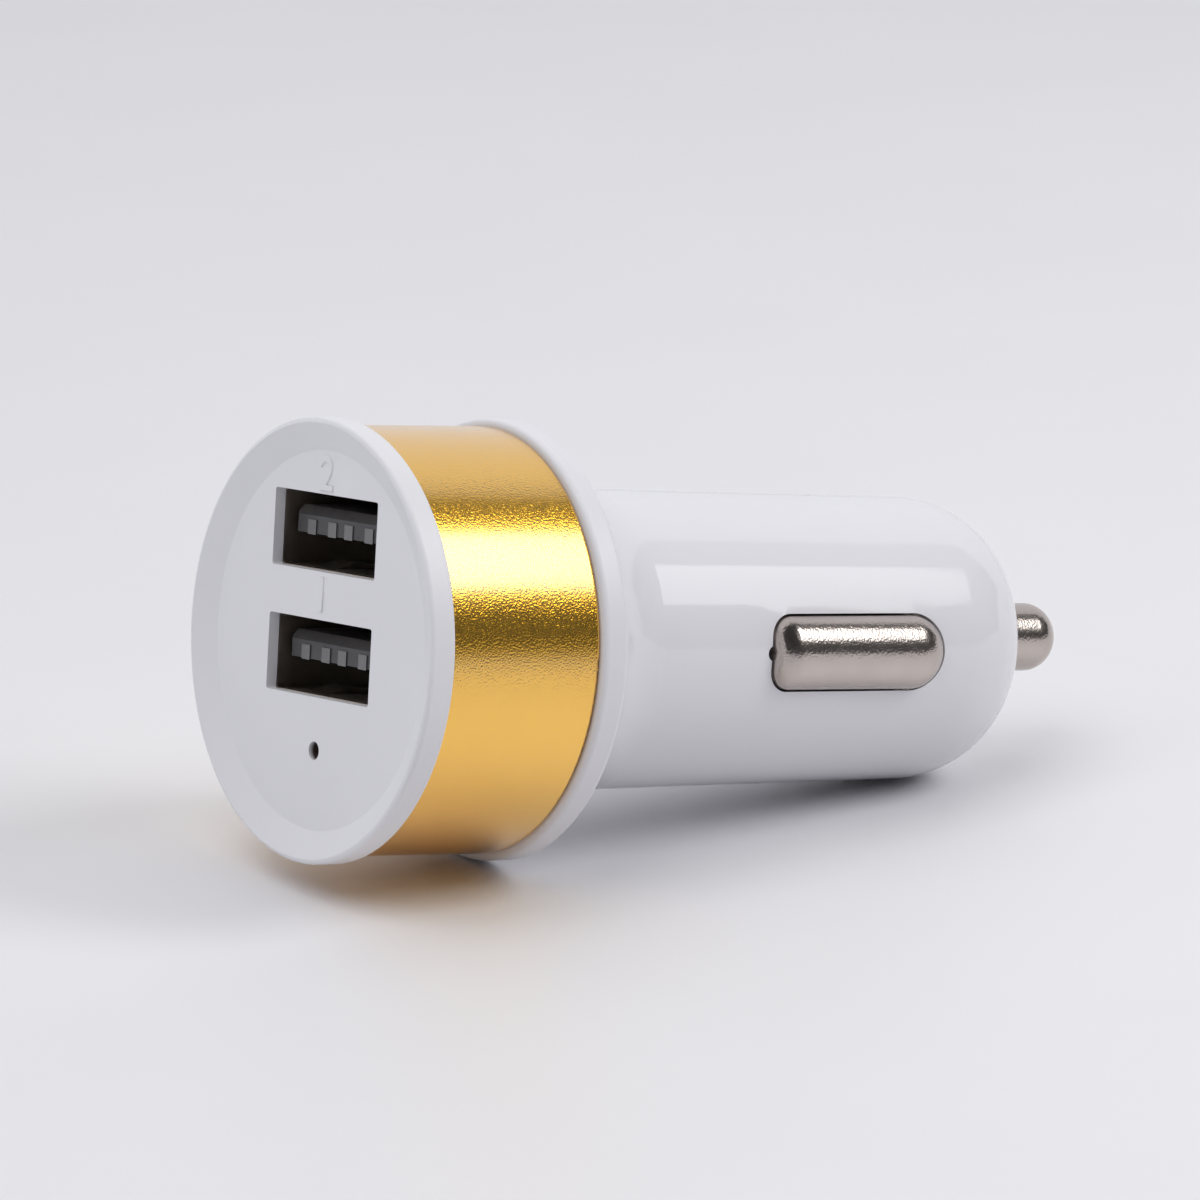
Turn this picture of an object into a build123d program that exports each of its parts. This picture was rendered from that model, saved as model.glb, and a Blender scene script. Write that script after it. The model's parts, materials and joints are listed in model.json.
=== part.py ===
from build123d import *
from math import sqrt
import os

# Car USB charger plug, in millimetres: x = 0 is the shoulder that meets the socket's rim,
# +X runs along the plug to its tip, +Z is up and the ports face -X

# Plug body: rear flange, tapered barrel, rounded nose and the spigot under the sleeve
flange_d = 30.0
flange_t = 2.0
flange_edge_r = 0.45
barrel_root_d = 20.8
barrel_end_d = 19.8
barrel_len = 32.5
barrel_wall = 1.4
flare_len = 6.2
flare_r = 7.5
nose_len = 7.2
nose_flat_d = 7.6
nose_wall = 1.6
spigot_wall = 1.9
seat_depth = 1.2

# Trim sleeve
sleeve_d = 29.0
sleeve_len = 11.95
sleeve_wall = 0.9
sleeve_edge_r = 0.3

# Front cap: sloped rim with a small step, sunk face, snap skirt
rim_t = 1.9
rim_edge_r = 0.35
rim_back_r = 0.2
rim_step = 0.12
rim_step_run = 0.25
face_d = 25.8
face_recess = 0.9
port_lip = 0.8
skirt_len = 4.5
skirt_wall = 1.0
bead_h = 0.25
bead_len = 1.2
bead_setback = 0.5
indicator_hole_d = 1.25

# USB receptacles, to the standard port's size
usb_w = 12.5
usb_h = 5.12
usb_corner_r = 0.6
shell_t = 0.3
port_pitch = 8.45
pin_board_gap = 0.93
port_gap = 0.05
port_mouth_r = 0.2
tongue_w = 11.1
tongue_t = 1.8
tongue_top = 1.5
tongue_recess = 1.3
tongue_chamfer = 0.6
tongue_corner_r = 0.3
base_len = 3.0
contact_w = 1.0
contact_t = 0.25
contact_proud = 0.08
contact_bow = 0.45
contact_rise = 1.0
bow_setback = 1.8
bow_end_gap = 0.9
contact_inner_pitch = 2.0
contact_outer_pitch = 7.0
leaf_w = 2.2
leaf_spacing = 6.2
leaf_lift = 0.45
leaf_len = 5.6
leaf_setback = 1.2
leaf_crest = 1.9
shell_tab_w = 2.0

# Side contacts: drawn oblong bump on a spring leaf
bump_len = 14.35
bump_h = 5.1
bump_front_x = 15.35
bump_front_r = 1.5
bump_crown = 2.0
bump_proud = 1.6
slot_gap = 0.13
slot_rear_gap = 0.35
slot_front_r = 1.6
slot_relief_r = 0.55
slot_relief_depth = 0.33
strip_t = 0.4
strip_gap = 0.25
bend_r = 0.85
fork_x = 1.5
fork_reach = 1.1
tail_len = 2.2

# Tip contact, its spring and terminal
pin_d = 4.8
pin_reach = 6.7
pin_tip_r = 2.1
pin_gap = 0.08
collar_d = 6.6
collar_t = 1.1
guide_d = 3.0
guide_len = 2.0
chamber_d = 7.2
boss_wall = 1.2
boss_len = 8.8
spring_wire_d = 0.5
spring_d = 5.8
spring_turns = 5.0
spring_len = 8.8
terminal_t = 0.4
terminal_h = 6.4
terminal_foot_len = 3.0
terminal_foot_w = 4.0
terminal_chamfer = 0.8

# Circuit boards
board_t = 1.2
board_gap = 0.1
pin_stickout = 0.6
main_board_w = 11.0
board_tab_w = 2.0
board_tab_y = 4.4
web_w = 1.0
web_len = 1.2
web_y = 4.4
web_setback = 1.2

# Parts on the boards
led_d = 3.0
led_len = 4.6
led_rim_d = 3.5
led_rim_t = 0.8
led_drop = 6.19
led_lead_pitch = 2.54
lead_w = 0.5
can_d = 6.3
input_can_len = 11.0
output_can_len = 9.0
can_x = 1.6
can_groove = 0.35
can_groove_setback = 1.6
can_edge_r = 0.4
can_lead_pitch = 2.5
can_lead_run = 0.9
core_d = 7.8
core_h = 5.0
core_flange_t = 1.0
core_hub_d = 3.6
winding_d = 6.9
part_space = 1.0
chip_len = 4.9
chip_w = 3.9
chip_h = 1.5
chip_lift = 0.15
chip_chamfer = 0.3
chip_leads_a_side = 4
chip_lead_pitch = 1.27
chip_lead_w = 0.42
chip_lead_t = 0.2
chip_span = 6.0
diode_len = 4.2
diode_w = 2.6
diode_h = 2.1
diode_chamfer = 0.35
diode_foot_len = 1.05
diode_terminal_t = 0.2
diode_terminal_w = 1.5
resistor_size = (1.6, 0.8, 0.45)
resistor_count = 4
ceramic_size = (2.0, 1.25, 0.9)
ceramic_count = 3
small_part_pitch = 2.2
small_part_y = 4.3

# Running and assembly clearances
fit_gap = 0.1
seat_gap = 0.05

# How near two sizes must be to count as the same edge
same_size = 0.001

# Radii and stations along X that follow from the sizes above
flange_r = flange_d / 2
barrel_root_r = barrel_root_d / 2
barrel_end_r = barrel_end_d / 2
nose_flat_r = nose_flat_d / 2
nose_end_x = barrel_len + nose_len
sleeve_bore_r = sleeve_d / 2 - sleeve_wall
spigot_r = sleeve_bore_r - fit_gap
head_bore_r = spigot_r - spigot_wall
sleeve_front_x = -flange_t - sleeve_len
rim_front_x = sleeve_front_x - rim_t
face_x = rim_front_x + face_recess
cap_wall_x = sleeve_front_x
shell_front_x = face_x + port_lip + seat_gap
seat_x = -seat_depth
port_board_x = seat_x - board_t
board_top_z = board_t / 2
skirt_r = head_bore_r - fit_gap
skirt_end_x = cap_wall_x + skirt_len

# Port heights: the lower port's pins pass under the main board
shell_w = usb_w + 2 * shell_t
shell_h = usb_h + 2 * shell_t
lower_port_z = tongue_t - tongue_top - board_top_z - pin_board_gap
upper_port_z = lower_port_z + port_pitch
led_z = lower_port_z - led_drop
contact_rows = [side * pitch / 2 for pitch in (contact_inner_pitch, contact_outer_pitch) for side in (-1, 1)]
tongue_front_x = face_x + tongue_recess
base_x = port_board_x - base_len
pin_end_x = seat_x + pin_stickout

# Side contact places: the leaf's edges lie just inside the barrel's wall where the bore is narrower
bump_end_x = bump_front_x + bump_len
tail_x = bump_end_x + tail_len
strip_h = bump_h


def barrel_radius(x):
    """Outside radius of the tapered barrel."""
    return barrel_root_r + (barrel_end_r - barrel_root_r) * x / barrel_len


bend_x = fork_x + bend_r
leaf_bore_r = min(barrel_radius(bend_x), barrel_radius(tail_x)) - barrel_wall
strip_y = sqrt(leaf_bore_r**2 - (strip_h / 2) ** 2) - strip_gap
bump_top_y = barrel_radius(bump_front_x + bump_len / 2) + bump_proud
bend_y = strip_y - bend_r
fork_y = main_board_w / 2 - fork_reach

# Tip places, from the nose wall inwards
nose_inner_x = nose_end_x - nose_wall
collar_x = nose_inner_x - seat_gap - collar_t
spring_x = collar_x - seat_gap - spring_len
terminal_x = spring_x - seat_gap - terminal_t
main_board_end_x = terminal_x
boss_x = nose_inner_x - boss_len


def block(x0, x1, y0, y1, z0, z1):
    """Box between two opposite corners."""
    return Pos(x0, y0, z0) * Box(x1 - x0, y1 - y0, z1 - z0, align=Align.MIN)


def rod(radius, x0, x1, y=0.0, z=0.0):
    """Round bar along X."""
    bar = Cylinder(radius, x1 - x0, align=(Align.CENTER, Align.CENTER, Align.MIN))
    return Pos(x0, y, z) * Rot(0, 90, 0) * bar


def turned(*edges):
    """Solid of revolution about X from a closed half section in the XY plane."""
    return revolve(make_face(edges), Axis.X)


def turned_outline(*points):
    """Solid of revolution about X from straight runs."""
    return turned(Polyline(*points, close=True))


def round_edges(solid, radius, amount):
    """Round the circular edges of one radius."""
    rims = solid.edges().filter_by(GeomType.CIRCLE)
    return fillet([e for e in rims if abs(e.radius - radius) < same_size], amount)


def usb_tube(width, height, corner_r, x0, x1, z):
    """Bar along X with the section of a USB port."""
    section = Plane.YZ * RectangleRounded(width, height, corner_r)
    return Pos(x0, 0, z) * extrude(section, x1 - x0)


def shell_room(z, x0, x1):
    """Pocket that clears a receptacle's shell."""
    width = shell_w + 2 * fit_gap
    height = shell_h + 2 * fit_gap
    return usb_tube(width, height, usb_corner_r + fit_gap, x0, x1, z)


def bullet(x_start, wall, tip_wall):
    """Barrel and nose as one solid, set in from the outside by its walls."""
    root_r = barrel_radius(x_start) - wall
    end_r = barrel_end_r - wall
    end_x = nose_end_x - tip_wall
    nose_h = end_r - nose_flat_r
    return turned(
        Line((x_start, 0), (x_start, root_r)),
        Line((x_start, root_r), (barrel_len, end_r)),
        EllipticalCenterArc((barrel_len, nose_flat_r), end_x - barrel_len, nose_h, 0, arc_size=90),
        Line((end_x, nose_flat_r), (end_x, 0)),
        Line((end_x, 0), (x_start, 0)),
    )


def root_flare():
    """Hollow curve from the flange's back face to the barrel, which it meets without a corner."""
    end_r = barrel_radius(flare_len)
    taper = (barrel_root_r - barrel_end_r) / barrel_len
    slant = sqrt(1 + taper**2)
    centre_x = flare_len + flare_r * taper / slant
    centre_r = end_r + flare_r / slant

    def radius(x):
        return centre_r - sqrt(flare_r**2 - (centre_x - x) ** 2)

    foot = (0, radius(0))
    middle = (flare_len / 2, radius(flare_len / 2))
    end = (flare_len, end_r)
    return turned(Polyline(end, (flare_len, 0), (0, 0), foot), ThreePointArc(foot, middle, end))


def slot_outline():
    """Contact slot seen from the side: two corners at the front, a half round at the rear."""
    front_x = bump_front_x - slot_gap
    half_h = bump_h / 2 + slot_gap
    rear_x = bump_end_x + slot_rear_gap - half_h
    corner_r = slot_front_r
    outline = make_face(
        [
            Line((front_x, corner_r - half_h), (front_x, half_h - corner_r)),
            RadiusArc((front_x, half_h - corner_r), (front_x + corner_r, half_h), corner_r),
            Line((front_x + corner_r, half_h), (rear_x, half_h)),
            ThreePointArc((rear_x, half_h), (rear_x + half_h, 0), (rear_x, -half_h)),
            Line((rear_x, -half_h), (front_x + corner_r, -half_h)),
            RadiusArc((front_x + corner_r, -half_h), (front_x, corner_r - half_h), corner_r),
        ]
    )
    return Plane.XZ * outline


def make_plug_body():
    outside = bullet(-flange_t, 0, 0)
    flange = round_edges(rod(flange_r, -flange_t, 0), flange_r, flange_edge_r)
    body = outside + flange + root_flare()
    body += rod(spigot_r, sleeve_front_x + 2 * fit_gap, -flange_t)
    body -= rod(head_bore_r, sleeve_front_x, seat_x)
    body -= shell_room(upper_port_z, sleeve_front_x, port_board_x)
    body -= bullet(seat_x, barrel_wall, nose_wall)
    body += rod(chamber_d / 2 + boss_wall, boss_x, nose_inner_x + nose_wall / 2)
    # Webs that pinch the rear of the main board
    web_x = main_board_end_x - web_setback - web_len
    gap_z = board_top_z + board_gap
    for y in (-web_y, web_y):
        for z0, z1 in ((gap_z, barrel_root_r), (-barrel_root_r, -gap_z)):
            body += block(web_x, web_x + web_len, y - web_w / 2, y + web_w / 2, z0, z1) & outside
    # Spring chamber, pin hole, contact slots with the relief at their front end, snap groove
    body -= rod(chamber_d / 2, boss_x, nose_inner_x)
    body -= rod(pin_d / 2 + pin_gap, nose_inner_x, nose_end_x)
    slot = extrude(slot_outline(), flange_r, both=True)
    relief_x = bump_front_x - slot_gap - slot_relief_depth + slot_relief_r
    slot += Pos(relief_x, 0, 0) * Rot(90, 0, 0) * Cylinder(slot_relief_r, flange_d)
    body -= slot - rod(chamber_d / 2 + boss_wall, boss_x, nose_inner_x)
    body -= bead_ring(fit_gap) & rod(spigot_r, sleeve_front_x, seat_x)
    return body


def bead_ring(grow):
    """Snap bead round the end of the cap's skirt, or its groove when grown."""
    rear_x = skirt_end_x - bead_setback
    front_x = rear_x - bead_len
    top_r = skirt_r + bead_h + grow
    foot_r = skirt_r - skirt_wall / 2
    return turned_outline(
        (front_x - grow, foot_r),
        (front_x - grow, skirt_r),
        (front_x + bead_h, top_r),
        (rear_x - bead_h, top_r),
        (rear_x + grow, skirt_r),
        (rear_x + grow, foot_r),
    )


def make_trim_sleeve():
    sleeve = rod(sleeve_d / 2, sleeve_front_x, -flange_t)
    sleeve = round_edges(sleeve, sleeve_d / 2, sleeve_edge_r)
    return sleeve - rod(sleeve_bore_r, sleeve_front_x, -flange_t)


def make_front_cap():
    step_foot = (face_x, (face_d - rim_step_run) / 2)
    step_top = (face_x - rim_step, (face_d + rim_step_run) / 2)
    rim_edge = (rim_front_x, flange_r - rim_edge_r)
    rim_side = (rim_front_x + rim_edge_r, flange_r)
    back_side = (sleeve_front_x - rim_back_r, flange_r)
    back_edge = (sleeve_front_x, flange_r - rim_back_r)
    cap = turned(
        Polyline((face_x, 0), step_foot, step_top, rim_edge),
        RadiusArc(rim_edge, rim_side, rim_edge_r),
        Line(rim_side, back_side),
        RadiusArc(back_side, back_edge, rim_back_r),
        Polyline(back_edge, (sleeve_front_x, 0), (face_x, 0)),
    )
    skirt = rod(skirt_r, cap_wall_x, skirt_end_x) + bead_ring(0)
    skirt -= rod(skirt_r - skirt_wall, cap_wall_x, skirt_end_x)
    # The skirt is open above, where the upper receptacle's corners reach the bore
    gate = shell_w / 2 + fit_gap
    skirt -= block(sleeve_front_x, skirt_end_x, -gate, gate, upper_port_z, flange_r)
    cap += skirt
    for z in (upper_port_z, lower_port_z):
        cap -= usb_tube(usb_w + 2 * port_gap, usb_h + 2 * port_gap, port_mouth_r, face_x, cap_wall_x, z)
        cap -= shell_room(z, face_x + port_lip, skirt_end_x)
    return cap - rod(indicator_hole_d / 2, face_x, cap_wall_x, z=led_z)


def make_usb_shell(z):
    tube = usb_tube(shell_w, shell_h, usb_corner_r, shell_front_x, port_board_x, z)
    tube -= usb_tube(usb_w, usb_h, usb_corner_r - shell_t, shell_front_x, port_board_x, z)
    # Retention leaves, cut free on three sides and pressed into the port
    leaf_x = shell_front_x + leaf_setback
    for y in (-leaf_spacing / 2, leaf_spacing / 2):
        for side in (-1, 1):
            wall_z = z + side * usb_h / 2
            outer_z = wall_z + side * shell_t
            window = leaf_w / 2 + shell_t
            low_z, high_z = sorted((wall_z, outer_z))
            tube -= block(leaf_x, leaf_x + leaf_len, y - window, y + window, low_z, high_z)
            crest_z = wall_z - side * leaf_lift
            crest_x = leaf_x + leaf_crest
            profile = Polyline(
                (leaf_x + shell_t, wall_z),
                (crest_x, crest_z),
                (leaf_x + leaf_len, wall_z),
                (leaf_x + leaf_len, outer_z),
                (crest_x, crest_z + side * shell_t),
                (leaf_x + 2 * shell_t, outer_z),
                close=True,
            )
            leaf = extrude(Plane.XZ * make_face(profile), leaf_w / 2, both=True)
            tube += Pos(0, y, 0) * leaf
    # Solder tabs at the sides
    for y0, y1 in ((-shell_w / 2, -usb_w / 2), (usb_w / 2, shell_w / 2)):
        tube += block(port_board_x, seat_x - seat_gap, y0, y1, z - shell_tab_w / 2, z + shell_tab_w / 2)
    return tube


def tongue_foot(z):
    """Height of the tongue's underside, where the contacts lie."""
    return z + tongue_top - tongue_t


def contact_foot(z):
    """Height of the contacts' underside, a little below the tongue."""
    return tongue_foot(z) - contact_proud


def make_usb_contacts(z):
    low_z = contact_foot(z)
    top_z = low_z + contact_t
    rise_z = low_z + contact_rise
    bow_x0 = tongue_front_x + bow_setback
    bow_x1 = base_x - bow_end_gap
    bow_x = (bow_x0 + bow_x1) / 2
    front_x = tongue_front_x - contact_proud
    profile = make_face(
        [
            Polyline(
                (bow_x0, low_z),
                (front_x, low_z),
                (front_x, rise_z),
                (front_x + contact_t, rise_z),
                (front_x + contact_t, top_z),
                (bow_x0, top_z),
            ),
            ThreePointArc((bow_x0, top_z), (bow_x, top_z - contact_bow), (bow_x1, top_z)),
            Polyline((bow_x1, top_z), (pin_end_x, top_z), (pin_end_x, low_z), (bow_x1, low_z)),
            ThreePointArc((bow_x1, low_z), (bow_x, low_z - contact_bow), (bow_x0, low_z)),
        ]
    )
    strip = extrude(Plane.XZ * profile, contact_w / 2, both=True)
    return [Pos(0, y, 0) * strip for y in contact_rows]


def make_usb_insulator(z, contacts):
    inner_r = usb_corner_r - shell_t
    base = usb_tube(usb_w - 2 * seat_gap, usb_h - 2 * seat_gap, inner_r, base_x, port_board_x, z)
    foot_z = tongue_foot(z)
    tongue = block(tongue_front_x, base_x, -tongue_w / 2, tongue_w / 2, foot_z, z + tongue_top)
    nose = tongue.edges().group_by(Axis.X)[0]
    tongue = chamfer(nose.sort_by(Axis.Z)[-1], tongue_chamfer)
    tongue = fillet(tongue.edges().filter_by(Axis.Z).group_by(Axis.X)[0], tongue_corner_r)
    insulator = base + tongue
    for contact in contacts:
        insulator -= contact
    return insulator


def make_side_contact():
    """Contact on the +Y side."""
    run = [
        Line((fork_x, fork_y), (fork_x, bend_y)),
        RadiusArc((fork_x, bend_y), (bend_x, strip_y), bend_r),
        Line((bend_x, strip_y), (tail_x, strip_y)),
        Line((tail_x, strip_y), (tail_x, strip_y - strip_t)),
        Line((tail_x, strip_y - strip_t), (bend_x, strip_y - strip_t)),
        RadiusArc((bend_x, strip_y - strip_t), (fork_x + strip_t, bend_y), strip_t - bend_r),
        Line((fork_x + strip_t, bend_y), (fork_x + strip_t, fork_y)),
        Line((fork_x + strip_t, fork_y), (fork_x, fork_y)),
    ]
    leaf = extrude(make_face(run), strip_h / 2, both=True)
    # Fork that straddles the board's edge
    slit_z = board_top_z + seat_gap
    leaf -= block(fork_x, fork_x + strip_t, fork_y, main_board_w / 2 + seat_gap, -slit_z, slit_z)
    return leaf + drawn_bump(0) - drawn_bump(strip_t)


def drawn_bump(inset):
    """Oblong dome that starts at the leaf's inner face, or the hollow in it when inset."""
    half_h = bump_h / 2 - inset
    crown = bump_crown - inset
    foot_y = strip_y - strip_t
    crown_y = bump_top_y - bump_crown
    front_x = bump_front_x + inset
    rear_x = bump_end_x - bump_h / 2
    end_x = rear_x + half_h
    section = make_face(
        [
            Polyline((crown_y, half_h), (foot_y, half_h), (foot_y, -half_h), (crown_y, -half_h)),
            EllipticalCenterArc((crown_y, 0), crown, half_h, -90, arc_size=180),
        ]
    )
    bar = Pos(front_x, 0, 0) * extrude(Plane.YZ * section, rear_x - front_x)
    front = bar.edges().group_by(Axis.X)[0]
    bar = fillet([e for e in front if e.center().Y > foot_y + same_size], bump_front_r - inset)
    end = make_face(
        [
            Polyline((rear_x, crown_y + crown), (rear_x, foot_y), (end_x, foot_y), (end_x, crown_y)),
            EllipticalCenterArc((rear_x, crown_y), half_h, crown, 0, arc_size=90),
        ]
    )
    return bar + revolve(end, Axis((rear_x, 0, 0), (0, 1, 0)))


def make_tip_contact():
    pin_r = pin_d / 2
    end_x = nose_end_x + pin_reach
    collar_end_x = collar_x + collar_t
    return turned(
        Polyline(
            (collar_x - guide_len, 0),
            (collar_x - guide_len, guide_d / 2),
            (collar_x, guide_d / 2),
            (collar_x, collar_d / 2),
            (collar_end_x, collar_d / 2),
            (collar_end_x, pin_r),
            (end_x - pin_tip_r, pin_r),
        ),
        RadiusArc((end_x - pin_tip_r, pin_r), (end_x, pin_r - pin_tip_r), pin_tip_r),
        Polyline((end_x, pin_r - pin_tip_r), (end_x, 0), (collar_x - guide_len, 0)),
    )


def make_tip_spring():
    coil_r = (spring_d - spring_wire_d) / 2
    run = spring_len - spring_wire_d
    path = Helix(run / spring_turns, run, coil_r)
    wire = Plane(origin=path @ 0, z_dir=path % 0) * Circle(spring_wire_d / 2)
    coil = sweep(wire, path=path, is_frenet=True)
    return Pos(spring_x + spring_wire_d / 2, 0, 0) * Rot(0, 90, 0) * coil


def make_tip_terminal():
    half_h = terminal_h / 2
    plate = block(terminal_x, terminal_x + terminal_t, -half_h, half_h, -half_h, half_h)
    plate = chamfer(plate.edges().filter_by(Axis.X), terminal_chamfer)
    half_w = terminal_foot_w / 2
    foot_x = terminal_x - terminal_foot_len
    foot = block(foot_x, terminal_x, -half_w, half_w, board_top_z, board_top_z + terminal_t)
    return plate + foot


def make_port_board():
    board = rod(head_bore_r - 2 * fit_gap, port_board_x, seat_x)
    half_slit = board_top_z + seat_gap
    for y in (-board_tab_y, board_tab_y):
        half_w = board_tab_w / 2 + seat_gap
        board -= block(port_board_x, seat_x, y - half_w, y + half_w, -half_slit, half_slit)
    for z in (upper_port_z, lower_port_z):
        half_tab = shell_tab_w / 2 + seat_gap
        for y0, y1 in ((-shell_w / 2, -usb_w / 2), (usb_w / 2, shell_w / 2)):
            board -= block(port_board_x, seat_x, y0 - seat_gap, y1 + seat_gap, z - half_tab, z + half_tab)
        pin_low_z = contact_foot(z) - seat_gap
        pin_top_z = contact_foot(z) + contact_t + seat_gap
        half_pin = contact_w / 2 + seat_gap
        for y in contact_rows:
            board -= block(port_board_x, seat_x, y - half_pin, y + half_pin, pin_low_z, pin_top_z)
    for y in (-led_lead_pitch / 2, led_lead_pitch / 2):
        half = lead_w / 2 + seat_gap
        board -= block(port_board_x, seat_x, y - half, y + half, led_z - half, led_z + half)
    return board


def make_main_board():
    half_w = main_board_w / 2
    board = block(seat_x, main_board_end_x, -half_w, half_w, -board_top_z, board_top_z)
    for y in (-board_tab_y, board_tab_y):
        half_tab = board_tab_w / 2
        board += block(port_board_x, seat_x, y - half_tab, y + half_tab, -board_top_z, board_top_z)
    for x, y in can_lead_places():
        board -= Pos(x, y, 0) * Cylinder(lead_w / 2 + seat_gap, board_t)
    return board


def can_lead_places():
    """Holes for the leads of the two capacitors."""
    rows = (-can_lead_pitch / 2, can_lead_pitch / 2)
    return [(can_x + length + can_lead_run, y) for length in (input_can_len, output_can_len) for y in rows]


def make_indicator_led():
    lens_x = cap_wall_x + seat_gap
    lens_r = led_d / 2
    rear_x = lens_x + led_len
    lamp = turned(
        Polyline(
            (lens_x + lens_r, lens_r),
            (rear_x - led_rim_t, lens_r),
            (rear_x - led_rim_t, led_rim_d / 2),
            (rear_x, led_rim_d / 2),
            (rear_x, 0),
            (lens_x, 0),
        ),
        CenterArc((lens_x + lens_r, 0), lens_r, 90, 90),
    )
    return Pos(0, 0, led_z) * lamp


def make_led_leads():
    rear_x = cap_wall_x + seat_gap + led_len
    half = lead_w / 2
    return [
        block(rear_x, pin_end_x, y - half, y + half, led_z - half, led_z + half)
        for y in (-led_lead_pitch / 2, led_lead_pitch / 2)
    ]


def make_can(length, side):
    """Electrolytic capacitor lying on one side of the board, with the roll groove near its lead end."""
    can_r = can_d / 2
    groove_x = length - can_groove_setback
    can = turned_outline(
        (0, 0),
        (0, can_r),
        (groove_x - can_groove, can_r),
        (groove_x, can_r - can_groove),
        (groove_x + can_groove, can_r),
        (length, can_r),
        (length, 0),
    )
    can = fillet(can.edges().filter_by(GeomType.CIRCLE).group_by(Axis.X)[0], can_edge_r)
    return Pos(can_x, 0, side * (board_top_z + can_r + seat_gap)) * can


def make_capacitor_leads():
    leads = []
    for length, side in ((input_can_len, 1), (output_can_len, -1)):
        can_z = board_top_z + can_d / 2 + seat_gap
        turn = can_lead_run / 2
        start_x = can_x + length
        end_x = start_x + can_lead_run
        path = FilletPolyline((start_x, 0, can_z), (end_x, 0, can_z), (end_x, 0, -board_top_z), radius=turn)
        wire = sweep(Plane(origin=path @ 0, z_dir=path % 0) * Circle(lead_w / 2), path=path)
        for y in (-can_lead_pitch / 2, can_lead_pitch / 2):
            lead = Pos(0, y, 0) * wire
            leads.append(lead if side > 0 else mirror(lead, Plane.XY))
    return leads


def make_inductor_core():
    flange = Cylinder(core_d / 2, core_flange_t)
    hub = Cylinder(core_hub_d / 2, core_h)
    lift = (core_h - core_flange_t) / 2
    return inductor_place() * (hub + Pos(0, 0, lift) * flange + Pos(0, 0, -lift) * flange)


def make_inductor_winding():
    height = core_h - 2 * core_flange_t
    ring = Cylinder(winding_d / 2, height) - Cylinder(core_hub_d / 2, height)
    return inductor_place() * ring


def inductor_place():
    """Under the board, behind the output capacitor's leads."""
    x = can_x + output_can_len + can_lead_run + part_space + core_d / 2
    return Pos(x, 0, -board_top_z - core_h / 2)


def chip_centre_x():
    """On the board, behind the input capacitor's leads."""
    return can_x + input_can_len + can_lead_run + part_space + chip_len / 2


def make_converter_chip():
    x = chip_centre_x()
    base_z = board_top_z + chip_lift
    body = block(x - chip_len / 2, x + chip_len / 2, -chip_w / 2, chip_w / 2, base_z, base_z + chip_h)
    return chamfer(body.faces().sort_by(Axis.Z)[-1].edges(), chip_chamfer)


def make_chip_leads():
    mid_z = board_top_z + chip_lift + chip_h / 2
    knee_y = (chip_w + chip_span) / 4
    half_t = chip_lead_t / 2
    profile = Polyline(
        (chip_w / 2, mid_z + half_t),
        (knee_y + half_t, mid_z + half_t),
        (knee_y + half_t, board_top_z + chip_lead_t),
        (chip_span / 2, board_top_z + chip_lead_t),
        (chip_span / 2, board_top_z),
        (knee_y - half_t, board_top_z),
        (knee_y - half_t, mid_z - half_t),
        (chip_w / 2, mid_z - half_t),
        close=True,
    )
    lead = extrude(Plane.YZ * make_face(profile), chip_lead_w / 2, both=True)
    leads = []
    first_x = chip_centre_x() - (chip_leads_a_side - 1) / 2 * chip_lead_pitch
    for n in range(chip_leads_a_side):
        placed = Pos(first_x + n * chip_lead_pitch, 0, 0) * lead
        leads += [placed, mirror(placed, Plane.XZ)]
    return leads


def diode_centre_x():
    """Under the board, behind the inductor."""
    return inductor_place().position.X + core_d / 2 + part_space + diode_w / 2


def make_rectifier_diode():
    x = diode_centre_x()
    top_z = -board_top_z - diode_terminal_t
    body = block(x - diode_w / 2, x + diode_w / 2, -diode_len / 2, diode_len / 2, top_z - diode_h, top_z)
    return chamfer(body.faces().sort_by(Axis.Z)[0].edges(), diode_chamfer)


def make_diode_terminals():
    x = diode_centre_x()
    half_w = diode_terminal_w / 2
    top_z = -board_top_z
    wrap = diode_len / 2 + diode_terminal_t
    side_z = top_z - diode_terminal_t - diode_h / 2
    foot_y = diode_len / 2 - diode_foot_len
    foot = block(x - half_w, x + half_w, foot_y, wrap, top_z - diode_terminal_t, top_z)
    side = block(x - half_w, x + half_w, diode_len / 2, wrap, side_z, top_z)
    terminal = foot + side
    return [terminal, mirror(terminal, Plane.XZ)]


def make_row(size, count, y):
    """Row of small chip parts along X beside the input capacitor."""
    length, width, height = size
    part = block(-width / 2, width / 2, -length / 2, length / 2, board_top_z, board_top_z + height)
    first_x = can_x + can_d / 2
    return [Pos(first_x + n * small_part_pitch, y, 0) * part for n in range(count)]


def group(solids):
    """Several separate solids in one node."""
    return Compound(children=[s.solid() for s in solids])


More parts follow.
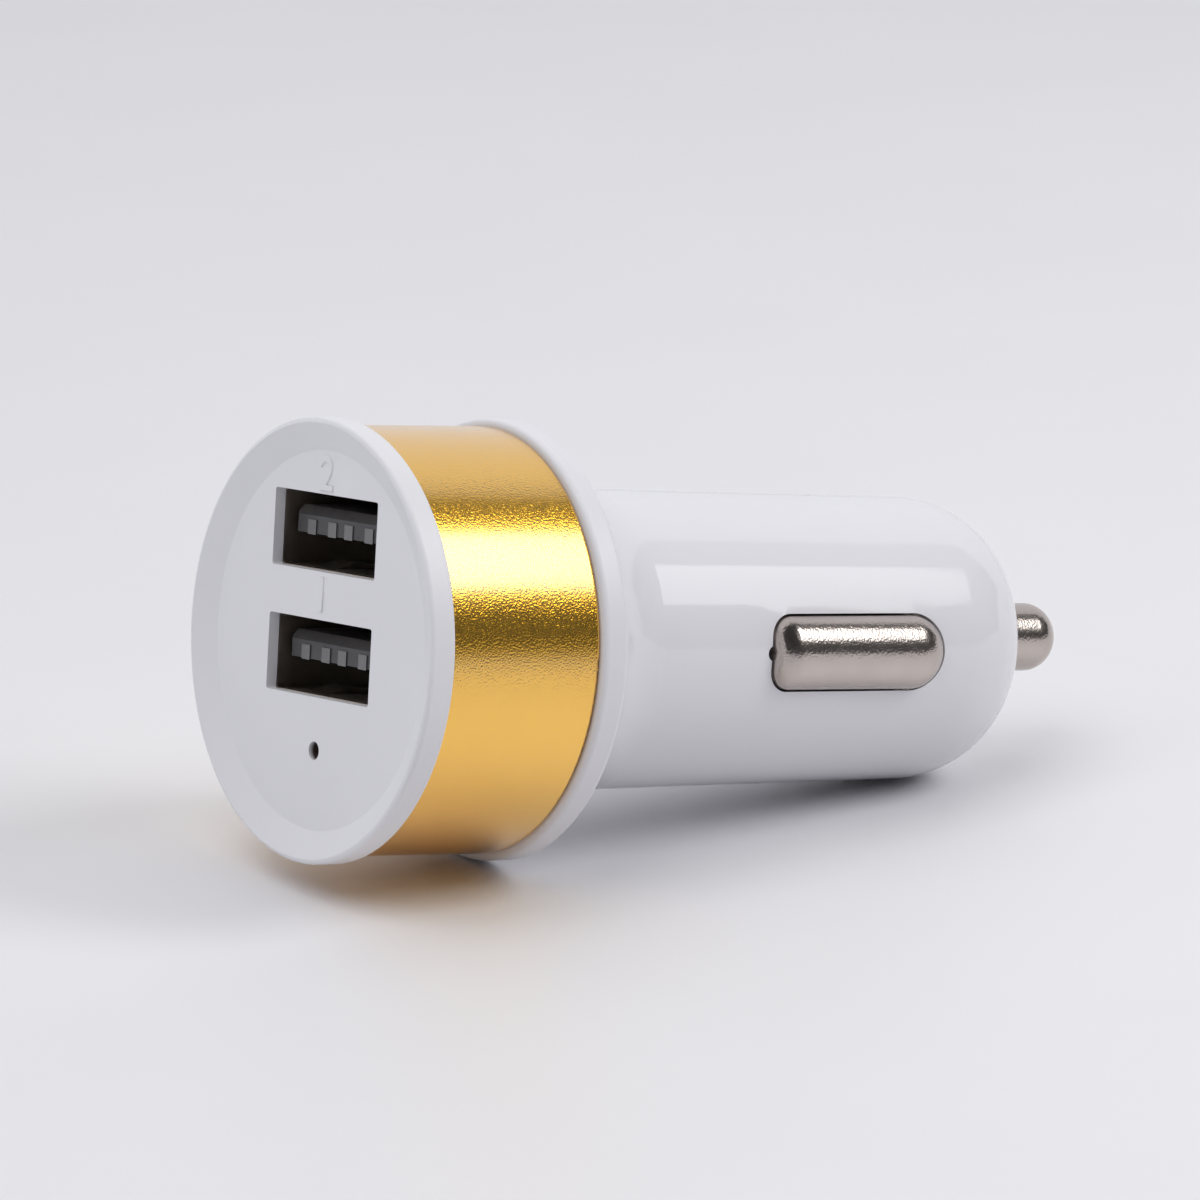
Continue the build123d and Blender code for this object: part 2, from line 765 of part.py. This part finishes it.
def build_parts():
    left_contact = make_side_contact()
    upper_contacts = make_usb_contacts(upper_port_z)
    lower_contacts = make_usb_contacts(lower_port_z)
    return {
        "front_cap": make_front_cap(),
        "trim_sleeve": make_trim_sleeve(),
        "plug_body": make_plug_body(),
        "side_contact_left": left_contact,
        "side_contact_right": mirror(left_contact, Plane.XZ),
        "tip_contact": make_tip_contact(),
        "tip_spring": make_tip_spring(),
        "tip_terminal": make_tip_terminal(),
        "port_board": make_port_board(),
        "main_board": make_main_board(),
        "usb_shell_upper": make_usb_shell(upper_port_z),
        "usb_shell_lower": make_usb_shell(lower_port_z),
        "usb_insulator_upper": make_usb_insulator(upper_port_z, upper_contacts),
        "usb_insulator_lower": make_usb_insulator(lower_port_z, lower_contacts),
        "usb_contacts_upper": group(upper_contacts),
        "usb_contacts_lower": group(lower_contacts),
        "indicator_led": make_indicator_led(),
        "led_leads": group(make_led_leads()),
        "input_capacitor": make_can(input_can_len, 1),
        "output_capacitor": make_can(output_can_len, -1),
        "capacitor_leads": group(make_capacitor_leads()),
        "inductor_core": make_inductor_core(),
        "inductor_winding": make_inductor_winding(),
        "converter_chip": make_converter_chip(),
        "chip_leads": group(make_chip_leads()),
        "rectifier_diode": make_rectifier_diode(),
        "diode_terminals": group(make_diode_terminals()),
        "chip_resistors": group(make_row(resistor_size, resistor_count, small_part_y)),
        "chip_capacitors": group(make_row(ceramic_size, ceramic_count, -small_part_y)),
    }


def main():
    os.makedirs("parts", exist_ok=True)
    for name, shape in build_parts().items():
        export_step(shape, f"parts/{name}.step")


main()
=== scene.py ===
import json
import math

import bpy
from mathutils import Matrix, Vector


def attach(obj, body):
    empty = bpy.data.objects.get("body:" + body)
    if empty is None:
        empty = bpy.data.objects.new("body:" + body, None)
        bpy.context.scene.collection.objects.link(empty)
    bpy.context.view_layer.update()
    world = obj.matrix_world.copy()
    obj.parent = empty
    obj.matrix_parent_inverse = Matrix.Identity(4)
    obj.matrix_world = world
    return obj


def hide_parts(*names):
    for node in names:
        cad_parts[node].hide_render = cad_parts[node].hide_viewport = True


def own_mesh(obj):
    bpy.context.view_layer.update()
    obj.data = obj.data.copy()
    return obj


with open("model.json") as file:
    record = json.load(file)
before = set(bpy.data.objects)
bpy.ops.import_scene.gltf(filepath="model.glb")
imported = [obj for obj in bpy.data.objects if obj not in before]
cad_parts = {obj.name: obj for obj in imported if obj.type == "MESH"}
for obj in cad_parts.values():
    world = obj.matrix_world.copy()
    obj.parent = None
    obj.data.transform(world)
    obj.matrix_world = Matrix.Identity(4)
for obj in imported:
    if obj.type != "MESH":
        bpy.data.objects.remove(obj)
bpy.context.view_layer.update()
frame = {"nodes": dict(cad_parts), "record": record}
nodes = frame["nodes"]

MM = 0.001


# Node materials

# Middle part of a noise's range, which holds most of its values
NOISE_LOW, NOISE_HIGH = 0.3, 0.7
# Patches of roughness are finer than patches of colour, and vary more
ROUGH_PATCHES = 2.3
ROUGH_VARY = 2


def new_material(name):
    """Empty node material with a principled shader on its output."""
    mat = bpy.data.materials.new(name)
    mat.use_nodes = True
    tree = mat.node_tree
    tree.nodes.clear()
    out = tree.nodes.new("ShaderNodeOutputMaterial")
    shader = tree.nodes.new("ShaderNodeBsdfPrincipled")
    tree.links.new(shader.outputs["BSDF"], out.inputs["Surface"])
    return mat, tree, shader


def shader_of(mat):
    """The principled shader of a material."""
    return next(n for n in mat.node_tree.nodes if n.type == "BSDF_PRINCIPLED")


def noise(tree, scale, detail=3.0):
    """Noise in object coordinates. Scale is in cells a metre."""
    coords = tree.nodes.new("ShaderNodeTexCoord")
    node = tree.nodes.new("ShaderNodeTexNoise")
    node.inputs["Scale"].default_value = scale
    node.inputs["Detail"].default_value = detail
    tree.links.new(coords.outputs["Object"], node.inputs["Vector"])
    return node.outputs["Fac"]


def ramp(tree, source, low, high):
    """Two-colour ramp on a noise."""
    node = tree.nodes.new("ShaderNodeValToRGB")
    node.color_ramp.elements[0].position = NOISE_LOW
    node.color_ramp.elements[0].color = (*low, 1.0)
    node.color_ramp.elements[1].position = NOISE_HIGH
    node.color_ramp.elements[1].color = (*high, 1.0)
    tree.links.new(source, node.inputs["Fac"])
    return node.outputs["Color"]


def spread(tree, source, low, high):
    """Noise mapped to a range of numbers."""
    node = tree.nodes.new("ShaderNodeMapRange")
    node.inputs["From Min"].default_value = NOISE_LOW
    node.inputs["From Max"].default_value = NOISE_HIGH
    node.inputs["To Min"].default_value = low
    node.inputs["To Max"].default_value = high
    tree.links.new(source, node.inputs["Value"])
    return node.outputs["Result"]


def bump(tree, shader, height, strength, distance):
    """Bump on the shader's normal."""
    node = tree.nodes.new("ShaderNodeBump")
    node.inputs["Strength"].default_value = strength
    node.inputs["Distance"].default_value = distance
    tree.links.new(height, node.inputs["Height"])
    tree.links.new(node.outputs["Normal"], shader.inputs["Normal"])


def object_axes(tree):
    """Object coordinates as separate X, Y and Z."""
    coords = tree.nodes.new("ShaderNodeTexCoord")
    axes = tree.nodes.new("ShaderNodeSeparateXYZ")
    tree.links.new(coords.outputs["Object"], axes.inputs[0])
    return axes.outputs


def tint(color, gain):
    """Colour made lighter or darker."""
    return tuple(min(1.0, c * gain) for c in color)


def finish(
    name, color, rough, vary=0.04, patch=400.0, grain=6000.0, strength=0.15, depth=0.02 * MM, metal=0.0
):
    """Material with colour patches, uneven roughness and a fine grain."""
    mat, tree, shader = new_material(name)
    shader.inputs["Metallic"].default_value = metal
    patches = ramp(tree, noise(tree, patch), tint(color, 1 - vary), tint(color, 1 + vary))
    tree.links.new(patches, shader.inputs["Base Color"])
    rough_noise = noise(tree, patch * ROUGH_PATCHES)
    uneven = spread(tree, rough_noise, rough * (1 - ROUGH_VARY * vary), rough * (1 + ROUGH_VARY * vary))
    tree.links.new(uneven, shader.inputs["Roughness"])
    bump(tree, shader, noise(tree, grain, detail=0.0), strength, depth)
    return mat


SATIN_ROUGH = 0.42

FINISHES = {
    "cap_white": dict(
        color=(0.795, 0.793, 0.83), rough=SATIN_ROUGH,
        vary=0.012, patch=90.0, grain=9000.0, strength=0.1, depth=0.01 * MM,
    ),
    "body_white": dict(
        color=(0.785, 0.78, 0.82), rough=0.08,
        vary=0.012, patch=60.0, grain=1500.0, strength=0.02, depth=0.01 * MM,
    ),
    "gold_anodised": dict(
        color=(1.0, 0.54, 0.03), rough=0.25,
        vary=0.015, patch=300.0, grain=8000.0, strength=0.75, depth=0.028 * MM, metal=1.0,
    ),
    "nickel": dict(
        color=(0.54, 0.48, 0.445), rough=0.23,
        vary=0.03, patch=500.0, grain=7000.0, strength=0.42, depth=0.03 * MM, metal=1.0,
    ),
    "spring_steel": dict(color=(0.52, 0.52, 0.53), rough=0.3, metal=1.0),
    "terminal_brass": dict(color=(0.78, 0.6, 0.28), rough=0.32, metal=1.0),
    "board_green": dict(color=(0.04, 0.2, 0.09), rough=0.4, vary=0.1),
    "tinplate": dict(color=(0.68, 0.6, 0.52), rough=0.36, vary=0.06, metal=1.0),
    "insulator_dark": dict(color=(0.05, 0.05, 0.054), rough=0.4, vary=0.1),
    "contact_metal": dict(color=(0.22, 0.22, 0.225), rough=0.42, metal=1.0),
    "lamp_clear": dict(color=(0.06, 0.05, 0.05), rough=0.15, vary=0.05),
    "lead_tin": dict(color=(0.68, 0.68, 0.7), rough=0.35, metal=1.0),
    "can_sleeve": dict(color=(0.03, 0.035, 0.06), rough=0.38, vary=0.08),
    "ferrite": dict(color=(0.06, 0.06, 0.062), rough=0.6, vary=0.1),
    "copper": dict(color=(0.72, 0.32, 0.14), rough=0.3, vary=0.08, metal=1.0),
    "chip_black": dict(color=(0.02, 0.02, 0.022), rough=0.5, vary=0.1),
    "ceramic_tan": dict(color=(0.5, 0.38, 0.24), rough=0.45, vary=0.06),
}
materials = {name: finish(name, **values) for name, values in FINISHES.items()}

# The gold has a clear anodised skin
gold_shader = shader_of(materials["gold_anodised"])
gold_shader.inputs["Coat Weight"].default_value = 1.0
gold_shader.inputs["Coat Roughness"].default_value = 0.2
gold_shader.inputs["Coat IOR"].default_value = 2.0

# The rear flange is satin like the cap, and the barrel behind it glossy
SATIN_END, GLOSS_START = 0.0 * MM, 2.5 * MM


def satin_flange(mat):
    """Raise the body's roughness in front of the shoulder."""
    tree = mat.node_tree
    shader = shader_of(mat)
    gloss = shader.inputs["Roughness"].links[0].from_socket
    satin = tree.nodes.new("ShaderNodeMapRange")
    satin.inputs["From Min"].default_value = SATIN_END
    satin.inputs["From Max"].default_value = GLOSS_START
    satin.inputs["To Min"].default_value = SATIN_ROUGH
    tree.links.new(object_axes(tree)["X"], satin.inputs["Value"])
    tree.links.new(gloss, satin.inputs["To Max"])
    tree.links.new(satin.outputs["Result"], shader.inputs["Roughness"])


satin_flange(materials["body_white"])

# Painted shade inside the indicator hole: the cap's colour is darkened behind the hole's lip
FACE_X = -14.95 * MM
LED_Z = -7.42 * MM
HOLE_R = 0.63 * MM
HOLE_LIP = 0.1 * MM
HOLE_FADE = 0.3 * MM
# Colour of the painted shade in the hole
HOLE_SHADE_COLOR = (0.07, 0.045, 0.04, 1)


def paint_hole_shade(mat):
    """Paint shade into the cap's colour inside the indicator hole, behind its lip."""
    tree = mat.node_tree
    shader = shader_of(mat)
    plain = shader.inputs["Base Color"].links[0].from_socket
    axes = object_axes(tree)
    across = tree.nodes.new("ShaderNodeCombineXYZ")
    tree.links.new(axes["Y"], across.inputs["Y"])
    tree.links.new(axes["Z"], across.inputs["Z"])
    reach = tree.nodes.new("ShaderNodeVectorMath")
    reach.operation = "DISTANCE"
    reach.inputs[1].default_value = (0, 0, LED_Z)
    tree.links.new(across.outputs[0], reach.inputs[0])
    near = tree.nodes.new("ShaderNodeMath")
    near.operation = "LESS_THAN"
    near.inputs[1].default_value = HOLE_R
    tree.links.new(reach.outputs["Value"], near.inputs[0])
    deep = tree.nodes.new("ShaderNodeMapRange")
    deep.inputs["From Min"].default_value = FACE_X + HOLE_LIP
    deep.inputs["From Max"].default_value = FACE_X + HOLE_LIP + HOLE_FADE
    tree.links.new(axes["X"], deep.inputs["Value"])
    shade_mask = tree.nodes.new("ShaderNodeMath")
    shade_mask.operation = "MULTIPLY"
    tree.links.new(near.outputs[0], shade_mask.inputs[0])
    tree.links.new(deep.outputs["Result"], shade_mask.inputs[1])
    shade = tree.nodes.new("ShaderNodeMix")
    shade.data_type = "RGBA"
    shade.inputs["B"].default_value = HOLE_SHADE_COLOR
    tree.links.new(shade_mask.outputs[0], shade.inputs["Factor"])
    tree.links.new(plain, shade.inputs["A"])
    tree.links.new(shade.outputs["Result"], shader.inputs["Base Color"])


# Painted shade in the indicator hole
paint_hole_shade(materials["cap_white"])

for row in frame["record"]["subparts"]:
    slots = nodes[row["node"]].data.materials
    slots.clear()
    slots.append(materials[row["material_slot"]])


# Pieces that the solids lack

def add_piece(name, mesh, slot, body="charger"):
    """New piece of the object in one of the record's materials."""
    mesh.materials.append(materials[slot])
    piece = bpy.data.objects.new(name, mesh)
    bpy.context.collection.objects.link(piece)
    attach(piece, body)
    return piece


NUMERAL_H = 2.3 * MM
NUMERAL_RAISE = 0.12 * MM
UPPER_NUMERAL_Z, LOWER_NUMERAL_Z = 11.1 * MM, 2.98 * MM
# A digit's height over the size of its font
DIGIT_SHARE = 0.7


def numeral(name, text, z):
    """Plain raised number on the face, centred at a height."""
    curve = bpy.data.curves.new(name, "FONT")
    curve.body = text
    curve.align_x = "CENTER"
    curve.align_y = "CENTER"
    curve.size = NUMERAL_H / DIGIT_SHARE
    curve.extrude = NUMERAL_RAISE / 2
    curve.bevel_depth = NUMERAL_RAISE / 2
    curve.bevel_resolution = 2
    text_object = bpy.data.objects.new(name + "_text", curve)
    bpy.context.collection.objects.link(text_object)
    depsgraph = bpy.context.evaluated_depsgraph_get()
    mesh = bpy.data.meshes.new_from_object(text_object.evaluated_get(depsgraph))
    bpy.data.objects.remove(text_object)
    # Reading direction -Y, up +Z, out of the face -X
    mesh.transform(Matrix(((0, 0, -1, FACE_X), (-1, 0, 0, 0), (0, 1, 0, z), (0, 0, 0, 1))))
    add_piece(name, mesh, "cap_white")


numeral("numeral_upper", "2", UPPER_NUMERAL_Z)
numeral("numeral_lower", "1", LOWER_NUMERAL_Z)

# Coil of the tip spring, drawn at one length in place of the hidden solid spring part
SPRING_X = 28.1 * MM
SPRING_LEN = 8.8 * MM
SPRING_D = 5.8 * MM
SPRING_WIRE_D = 0.5 * MM
SPRING_TURNS = 5
STEPS_A_TURN, WIRE_SIDES = 48, 12

coil_r = (SPRING_D - SPRING_WIRE_D) / 2
wire_r = SPRING_WIRE_D / 2
run = SPRING_LEN - SPRING_WIRE_D
steps = SPRING_TURNS * STEPS_A_TURN
along_axis = Vector((1, 0, 0))
points, faces = [], []
for i in range(steps + 1):
    turn = 2 * math.pi * i / STEPS_A_TURN
    outward = Vector((0, math.cos(turn), math.sin(turn)))
    centre = along_axis * (SPRING_X + wire_r + run * i / steps) + outward * coil_r
    for k in range(WIRE_SIDES):
        side = 2 * math.pi * k / WIRE_SIDES
        points.append(centre + (outward * math.cos(side) + along_axis * math.sin(side)) * wire_r)
for i in range(steps):
    for k in range(WIRE_SIDES):
        a, b = i * WIRE_SIDES + k, i * WIRE_SIDES + (k + 1) % WIRE_SIDES
        faces.append((a, b, b + WIRE_SIDES, a + WIRE_SIDES))
faces.append(tuple(reversed(range(WIRE_SIDES))))
faces.append(tuple(range(steps * WIRE_SIDES, (steps + 1) * WIRE_SIDES)))
spring_mesh = bpy.data.meshes.new("tip_spring_coil")
spring_mesh.from_pydata(points, [], faces)
spring_mesh.shade_smooth()
spring = add_piece("tip_spring_coil", spring_mesh, "spring_steel")
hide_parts("tip_spring")
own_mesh(spring)


# Camera at the photo's viewpoint, 16 degrees above the floor, with the plug lying tilted and a little turned

AZIMUTH, ELEVATION, ROLL = math.radians(-35.05), math.radians(4.871), math.radians(3.093)
DISTANCE = 600 * MM
FOCAL_PX = 8741.1
PHOTO_PX = 1200
SENSOR_W = 36
CLIP_START = 0.01
TARGET = Vector((10 * MM, 0, 0))
TARGET_PX = (624.65, 638.96)

back = Vector((
    math.sin(AZIMUTH) * math.cos(ELEVATION),
    -math.cos(AZIMUTH) * math.cos(ELEVATION),
    math.sin(ELEVATION),
))
eye = TARGET + back * DISTANCE
level_right = (-back).cross(Vector((0, 0, 1))).normalized()
level_up = level_right.cross(-back)
right = math.cos(ROLL) * level_right + math.sin(ROLL) * level_up
up = math.cos(ROLL) * level_up - math.sin(ROLL) * level_right
offset_x = (PHOTO_PX / 2 - TARGET_PX[0]) / FOCAL_PX * DISTANCE
offset_y = (TARGET_PX[1] - PHOTO_PX / 2) / FOCAL_PX * DISTANCE
aim = TARGET + right * offset_x + up * offset_y
cam_back = (eye - aim).normalized()
cam_right = up.cross(cam_back).normalized()
cam_up = cam_back.cross(cam_right)
camera = bpy.data.objects.new("camera", bpy.data.cameras.new("camera"))
camera.data.sensor_width = SENSOR_W
camera.data.lens = FOCAL_PX / PHOTO_PX * SENSOR_W
camera.data.clip_start = CLIP_START
camera.matrix_world = Matrix((
    (cam_right.x, cam_up.x, cam_back.x, eye.x),
    (cam_right.y, cam_up.y, cam_back.y, eye.y),
    (cam_right.z, cam_up.z, cam_back.z, eye.z),
    (0, 0, 0, 1),
))
bpy.context.collection.objects.link(camera)
bpy.context.scene.camera = camera


# Floor under the rear flange's edge and the nose

FLOOR_UP = Vector((-0.15014, -0.12357, 0.98091)).normalized()
FLOOR_HEIGHT = -14.79 * MM
FLOOR_SIZE = 1.4
FLOOR_PATCH = 30.0
FLOOR_DARK, FLOOR_LIGHT = (0.81, 0.805, 0.83), (0.825, 0.82, 0.845)

floor_mat, floor_tree, floor_shader = new_material("floor_pale")
floor_color = ramp(floor_tree, noise(floor_tree, FLOOR_PATCH), FLOOR_DARK, FLOOR_LIGHT)
floor_tree.links.new(floor_color, floor_shader.inputs["Base Color"])
floor_shader.inputs["Roughness"].default_value = 0.45
half = FLOOR_SIZE / 2
corners = [(-half, -half, 0), (half, -half, 0), (half, half, 0), (-half, half, 0)]
floor_mesh = bpy.data.meshes.new("floor")
floor_mesh.from_pydata(corners, [], [(0, 1, 2, 3)])
floor_mesh.materials.append(floor_mat)
floor = bpy.data.objects.new("floor", floor_mesh)
floor_turn = FLOOR_UP.to_track_quat("Z", "Y").to_matrix().to_4x4()
floor.matrix_world = Matrix.Translation(FLOOR_UP * FLOOR_HEIGHT) @ floor_turn
bpy.context.collection.objects.link(floor)


# Studio: a long key box along the plug, side and top fill, and the dark front of the room that metal mirrors

def soft_box(name, place, size, radiance, aim_at):
    """Rectangular lamp that faces a point. Radiance 1 is as bright as plain white."""
    lamp = bpy.data.lights.new(name, "AREA")
    lamp.shape = "RECTANGLE"
    lamp.size, lamp.size_y = size
    lamp.energy = radiance * math.pi * size[0] * size[1]
    holder = bpy.data.objects.new(name, lamp)
    place = Vector(place)
    holder.location = place
    holder.rotation_euler = (place - Vector(aim_at)).to_track_quat("Z", "Y").to_euler()
    bpy.context.collection.objects.link(holder)
    return holder


# The key box is dimmer at its right end
KEY_DISTANCE, KEY_HEIGHT, KEY_RISE = 0.5, 0.29, math.radians(48.2)
KEY_LEFT, KEY_SPLIT, KEY_RIGHT = 0.18, 0.345, 0.437
KEY_CORE, KEY_EDGE = 6.5, 2.5

key_y, key_z = -KEY_DISTANCE * math.cos(KEY_RISE), KEY_DISTANCE * math.sin(KEY_RISE)
for name, x0, x1, radiance in (
    ("key_core", KEY_LEFT, KEY_SPLIT, KEY_CORE),
    ("key_edge", KEY_SPLIT, KEY_RIGHT, KEY_EDGE),
):
    mid = (x0 + x1) / 2
    soft_box(name, (mid, key_y, key_z), (x1 - x0, KEY_HEIGHT), radiance, (mid, 0, 0))

# The fill boxes light the scene without showing in its mirrors
for name, place, size, radiance in (
    ("key_fill", (0.27, -0.46, 0.4), 0.5, 1.0),
    ("left_box", (-0.5, -0.2, 0.6), 0.6, 2.35),
    ("top_box", (0.0, 0.15, 0.75), 0.8, 0.5),
):
    box = soft_box(name, place, (size, size), radiance, TARGET)
    box.visible_glossy = False

# The room's front is part of a ball around the plug, with its angles in degrees
HOOD_RADIUS = 2.4
HOOD_ALONG = (-68, 72)
HOOD_RISE = (-5, 88)
HOOD_STEPS = 24
HOOD_PATCH = 6.0
HOOD_DARK, HOOD_LIGHT = (0.06, 0.06, 0.06), (0.09, 0.09, 0.09)

hood_mat, hood_tree, hood_shader = new_material("room_dark")
hood_color = ramp(hood_tree, noise(hood_tree, HOOD_PATCH), HOOD_DARK, HOOD_LIGHT)
hood_tree.links.new(hood_color, hood_shader.inputs["Base Color"])
hood_shader.inputs["Roughness"].default_value = 0.9
hood_points, hood_faces = [], []
for i in range(HOOD_STEPS + 1):
    along = math.radians(HOOD_ALONG[0] + (HOOD_ALONG[1] - HOOD_ALONG[0]) * i / HOOD_STEPS)
    for k in range(HOOD_STEPS + 1):
        rise = math.radians(HOOD_RISE[0] + (HOOD_RISE[1] - HOOD_RISE[0]) * k / HOOD_STEPS)
        reach = HOOD_RADIUS * math.cos(along)
        hood_points.append((HOOD_RADIUS * math.sin(along), -reach * math.cos(rise), reach * math.sin(rise)))
for i in range(HOOD_STEPS):
    for k in range(HOOD_STEPS):
        a = i * (HOOD_STEPS + 1) + k
        hood_faces.append((a, a + 1, a + HOOD_STEPS + 2, a + HOOD_STEPS + 1))
hood_mesh = bpy.data.meshes.new("room_front")
hood_mesh.from_pydata(hood_points, [], hood_faces)
hood_mesh.materials.append(hood_mat)
hood = bpy.data.objects.new("room_front", hood_mesh)
hood.visible_camera = False
bpy.context.collection.objects.link(hood)

# Pale tent all round, a little dimmer as light than as it is seen
TENT_COLOR = (0.755, 0.76, 0.79, 1)
TENT_SEEN, TENT_LIGHT = 1.0, 0.72

world = bpy.data.worlds.new("studio")
bpy.context.scene.world = world
world.use_nodes = True
wtree = world.node_tree
wtree.nodes.clear()
seen = wtree.nodes.new("ShaderNodeBackground")
seen.inputs["Color"].default_value = TENT_COLOR
seen.inputs["Strength"].default_value = TENT_SEEN
ambient = wtree.nodes.new("ShaderNodeBackground")
ambient.inputs["Color"].default_value = TENT_COLOR
ambient.inputs["Strength"].default_value = TENT_LIGHT
path = wtree.nodes.new("ShaderNodeLightPath")
camera_or_mirror = wtree.nodes.new("ShaderNodeMath")
camera_or_mirror.operation = "MAXIMUM"
direct = wtree.nodes.new("ShaderNodeMath")
direct.operation = "MAXIMUM"
mix = wtree.nodes.new("ShaderNodeMixShader")
wout = wtree.nodes.new("ShaderNodeOutputWorld")
wtree.links.new(path.outputs["Is Camera Ray"], camera_or_mirror.inputs[0])
wtree.links.new(path.outputs["Is Glossy Ray"], camera_or_mirror.inputs[1])
wtree.links.new(camera_or_mirror.outputs[0], direct.inputs[0])
wtree.links.new(path.outputs["Is Transmission Ray"], direct.inputs[1])
wtree.links.new(direct.outputs[0], mix.inputs["Fac"])
wtree.links.new(ambient.outputs[0], mix.inputs[1])
wtree.links.new(seen.outputs[0], mix.inputs[2])
wtree.links.new(mix.outputs[0], wout.inputs["Surface"])

bpy.context.scene.view_settings.view_transform = "Standard"
